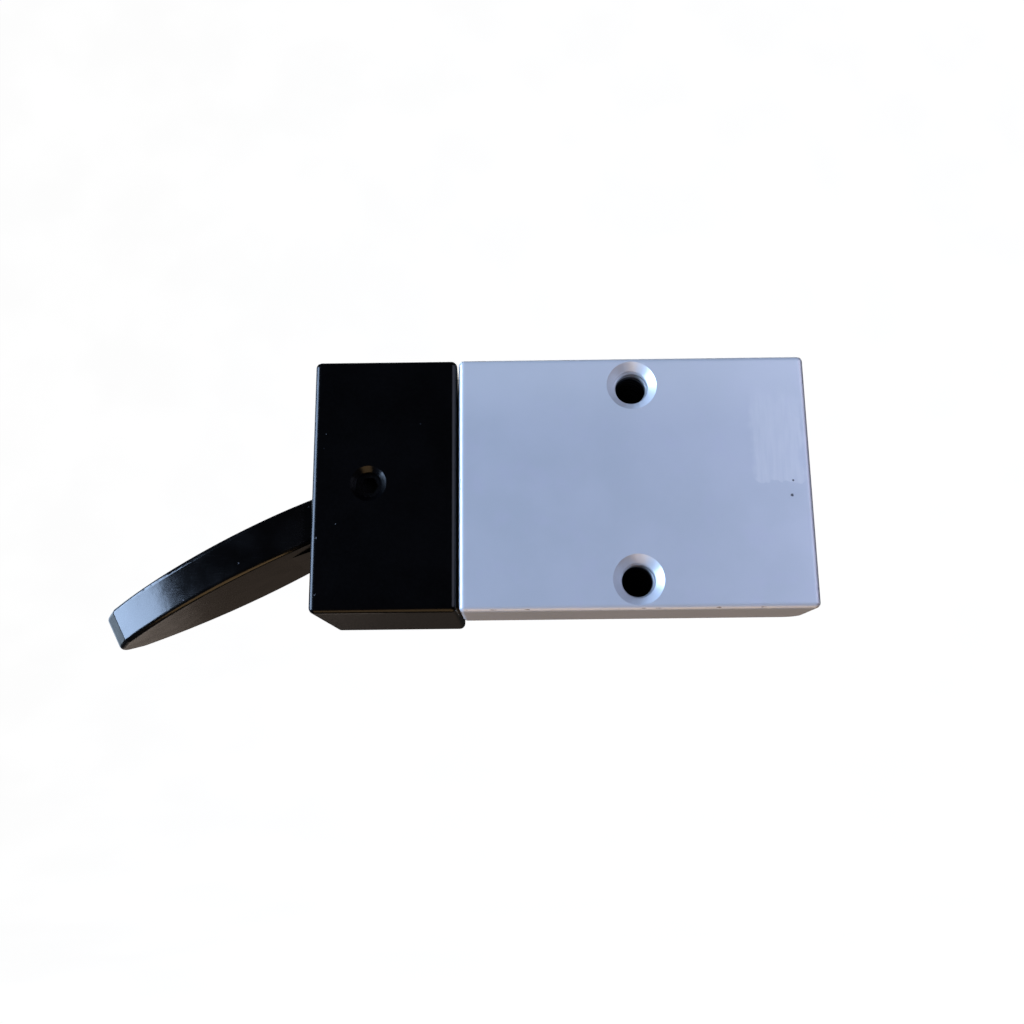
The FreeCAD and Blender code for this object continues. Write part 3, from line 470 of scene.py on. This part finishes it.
def spring():
    """The bolt spring with closed ends, in place of the frame's hidden spring."""
    turns, dead, wire, steps_a_turn, sides = 9.0, 1.0, 0.4 * MM, 40, 10
    centre = (SPRING_LOW + SPRING_HIGH) / 2
    coil = (SPRING_HIGH.z - SPRING_LOW.z) / 2 - wire
    whole = SPRING_HIGH.x - SPRING_LOW.x
    dead_rise = 2.05 * wire
    live_length = whole - 2 * wire - 2 * dead * dead_rise
    steps = int(turns * steps_a_turn)
    path = []
    for index in range(steps + 1):
        turn = turns * index / steps
        live = min(max(turn - dead, 0.0), turns - 2 * dead) / (turns - 2 * dead)
        ends = min(turn, dead) + max(turn - (turns - dead), 0.0)
        angle = turn * math.tau
        path.append(Vector((SPRING_LOW.x + wire + dead_rise * ends + live * live_length,
                            centre.y + coil * math.cos(angle), centre.z + coil * math.sin(angle))))
    rings = []
    for index, point in enumerate(path):
        tangent = (path[min(index + 1, steps)] - path[max(index - 1, 0)]).normalized()
        away = Vector((0, point.y - centre.y, point.z - centre.z)).normalized()
        side = tangent.cross(away).normalized()
        angles = [math.tau * n / sides for n in range(sides)]
        rings.append([point + wire * (away * math.cos(a) + side * math.sin(a)) for a in angles])
    points, faces = skin(rings)
    piece = mesh_piece("bolt_spring_coils", points, faces, "spring_steel", "latch_case")
    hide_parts("bolt_spring")
    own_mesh(piece)


# ------------------------------------------------------------------ stage, light, camera

def stage():
    """A wide pale floor that curves up into a backdrop, far below and behind the held-up latch."""
    half, drop, back, bend, steps = 4.0, 0.45, 4.0, 2.0, 24
    level = CAD_BOX[0].z - drop
    profile = [(-half, level)]
    for step in range(steps + 1):
        angle = math.radians(90) * step / steps
        profile.append((back - bend + bend * math.sin(angle), level + bend - bend * math.cos(angle)))
    profile.append((back, level + 3 * half))
    points = [(side * 2 * half, y, z) for y, z in profile for side in (-1, 1)]
    faces = [(2 * n, 2 * n + 1, 2 * n + 3, 2 * n + 2) for n in range(len(profile) - 1)]
    mesh = bpy.data.meshes.new("floor")
    mesh.from_pydata(points, [], faces)
    floor = bpy.data.objects.new("floor", mesh)
    bpy.context.scene.collection.objects.link(floor)
    t = Tree("floor_paper")
    cloud = t.noise(300 * MM, detail=2)
    paper = t.mix(t.ramp(cloud, 0.3, 0.7), (0.96, 0.96, 0.96), (0.98, 0.98, 0.98))
    t.set(Base_Color=paper, Roughness=0.9, Emission_Color=paper, Emission_Strength=1.0)
    mesh.materials.append(t.material)
    floor.visible_diffuse = floor.visible_glossy = floor.visible_shadow = False


AMBIENT = 0.02                                   # the world's light on the object
CAMERA_PLACE = Vector((-22.8, -202.5, -47.4)) * MM
CAMERA_TURN = (102.52, 0.61, 0.43)               # degrees about X, Y and Z


def world():
    """White to the camera; almost dark to the object, which the lamps light."""
    made = bpy.data.worlds.new("studio")
    bpy.context.scene.world = made
    made.use_nodes = True
    nodes, links = made.node_tree.nodes, made.node_tree.links
    nodes.clear()
    output = nodes.new("ShaderNodeOutputWorld")
    background = nodes.new("ShaderNodeBackground")
    path = nodes.new("ShaderNodeLightPath")
    strength = nodes.new("ShaderNodeMapRange")
    background.inputs["Color"].default_value = (1, 1, 1, 1)
    strength.inputs["To Min"].default_value = AMBIENT
    strength.inputs["To Max"].default_value = 1.0
    links.new(path.outputs["Is Camera Ray"], strength.inputs["Value"])
    links.new(strength.outputs["Result"], background.inputs["Strength"])
    links.new(background.outputs[0], output.inputs[0])


def lamp(name, offset, size, power, colour):
    """A soft rectangular lamp at an offset from the latch's middle, turned towards it."""
    data = bpy.data.lights.new(name, "AREA")
    data.shape = "RECTANGLE"
    data.size, data.size_y = size
    data.energy = power
    data.color = colour
    item = bpy.data.objects.new(name, data)
    item.location = (CAD_BOX[0] + CAD_BOX[1]) / 2 + Vector(offset)
    item.rotation_euler = (-Vector(offset)).to_track_quat("-Z", "Y").to_euler()
    item.visible_camera = False
    bpy.context.scene.collection.objects.link(item)


# name: offset from the latch's middle (m), width and height (m), power (W), colour
LAMPS = {
    "window_left": ((-0.62, -0.18, 0.02), (0.45, 0.60), 13.6, (0.46, 0.63, 0.92)),
    "window_far": ((-0.55, 0.45, 0.05), (0.40, 0.50), 0.9, (0.60, 0.78, 1.0)),
    "sky_above": ((0.0, 0.40, 0.55), (0.60, 0.30), 0.9, (0.90, 0.97, 1.0)),
    "warm_left": ((-0.20, 0.42, -0.26), (0.26, 0.14), 0.07, (1.0, 0.86, 0.76)),
    "warm_behind": ((0.0, 0.45, -0.17), (0.80, 0.16), 0.03, (1.0, 0.70, 0.50)),
    "warm_under": ((0.05, -0.05, -0.45), (0.50, 0.30), 0.74, (1.0, 0.64, 0.30)),
    "right_wall": ((0.45, -0.42, 0.12), (0.50, 0.50), 1.9, (0.64, 0.68, 0.92)),
    "back_fill": ((0.05, 0.62, 0.45), (0.70, 0.40), 2.2, (1.0, 0.97, 0.93)),
}


def lights():
    for name, (offset, size, power, colour) in LAMPS.items():
        lamp(name, offset, size, power, colour)


def camera():
    """A little below the latch, looking slightly up."""
    data = bpy.data.cameras.new("camera")
    data.sensor_width = 36
    data.lens = 35.16
    data.clip_start = 0.01
    item = bpy.data.objects.new("camera", data)
    item.location = CAMERA_PLACE
    item.rotation_euler = [math.radians(angle) for angle in CAMERA_TURN]
    bpy.context.scene.collection.objects.link(item)
    bpy.context.scene.camera = item


dress_frame()
threads()
spring()
stage()
world()
lights()
camera()
bpy.context.scene.view_settings.view_transform = "Standard"
